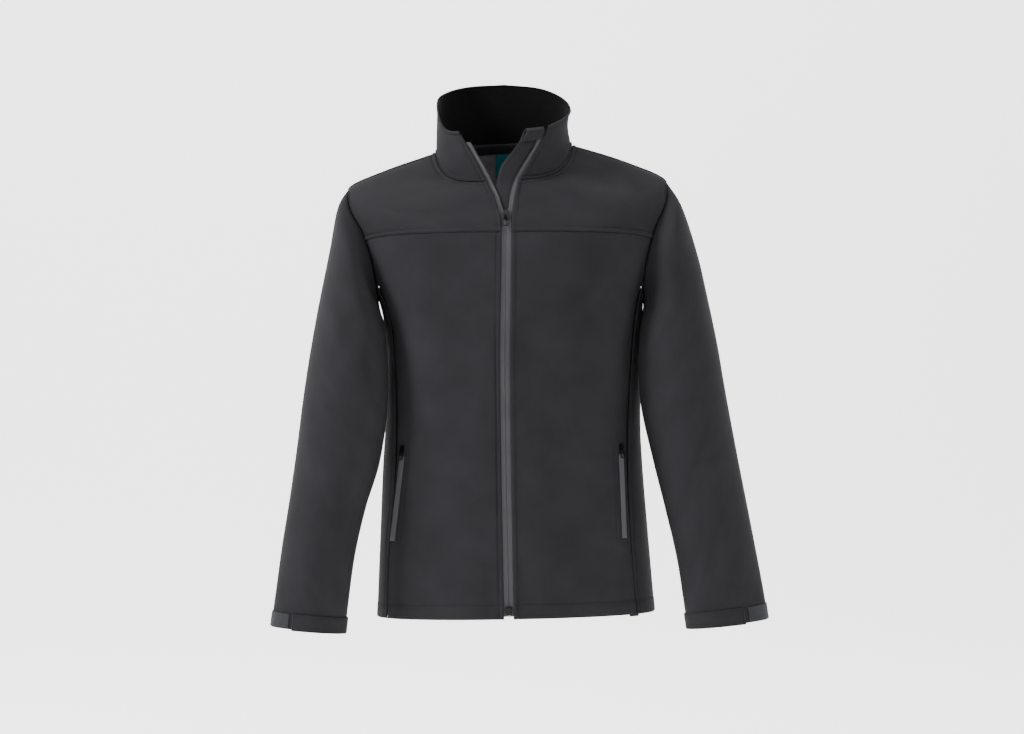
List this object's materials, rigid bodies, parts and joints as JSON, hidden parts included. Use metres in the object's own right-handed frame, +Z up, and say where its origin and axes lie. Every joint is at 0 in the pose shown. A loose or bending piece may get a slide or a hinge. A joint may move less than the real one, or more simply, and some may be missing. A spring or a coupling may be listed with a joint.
{
  "type": "softshell jacket, filled out with no wearer",
  "caption": "Zip-front softshell jacket with a stand collar, set-in sleeves, cuff straps and two zip pockets, hollow as worn.",
  "frame": {"origin": "midway between the shoulder tops at the height of the neck seam's sides, where the wearer holds it", "axes": "+Z up, -Y to the front, +X towards the wearer's left arm"},
  "size_m": [0.7329, 0.2561, 0.8193],
  "materials": {
    "softshell": "bonded woven stretch cloth, matte",
    "facing": "brushed fleece face",
    "lining": "smooth knitted lining",
    "label": "woven satin",
    "zip_tape": "coated woven tape",
    "loop_patch": "looped pile",
    "zip_trim": "moulded, glossy"
  },
  "bodies": {
    "root": {"front_left": "softshell", "yoke_left": "softshell", "side_panel_left": "softshell", "sleeve_head_left": "softshell", "sleeve_upper_left": "softshell", "sleeve_elbow_left": "softshell", "sleeve_forearm_left": "softshell", "cuff_strap_left": "softshell", "cuff_patch_left": "loop_patch", "zip_tape_left": "zip_tape", "pocket_tape_left": "zip_tape", "pocket_left_slider": "zip_trim", "front_right": "softshell", "yoke_right": "softshell", "side_panel_right": "softshell", "sleeve_head_right": "softshell", "sleeve_upper_right": "softshell", "sleeve_elbow_right": "softshell", "sleeve_forearm_right": "softshell", "cuff_strap_right": "softshell", "cuff_patch_right": "loop_patch", "zip_tape_right": "zip_tape", "pocket_tape_right": "zip_tape", "pocket_right_slider": "zip_trim", "back": "softshell", "collar": "softshell", "zip_guard": "softshell", "collar_facing": "facing", "neck_lining": "lining", "neck_label": "label", "zip_end_box": "zip_trim", "main_slider": "zip_trim"},
    "main_pull": {"main_pull": "zip_trim"},
    "pocket_left_pull": {"pocket_left_pull": "zip_trim"},
    "pocket_right_pull": {"pocket_right_pull": "zip_trim"}
  },
  "joints": [
    {"name": "main_pull_hinge", "type": "hinge", "parent": "root", "child": "main_pull", "pos_m": [-0.00299, -0.0983, -0.09274], "axis": [-0.9999, 0.0123, 0], "range_deg": [0, 160]},
    {"name": "pocket_left_pull_hinge", "type": "hinge", "parent": "root", "child": "pocket_left_pull", "pos_m": [-0.15756, -0.08704, -0.43933], "axis": [-0.7035, 0.7107, 0], "range_deg": [0, 160]},
    {"name": "pocket_right_pull_hinge", "type": "hinge", "parent": "root", "child": "pocket_right_pull", "pos_m": [0.16846, -0.0901, -0.43649], "axis": [-0.7295, -0.684, 0], "range_deg": [0, 160]}
  ]
}
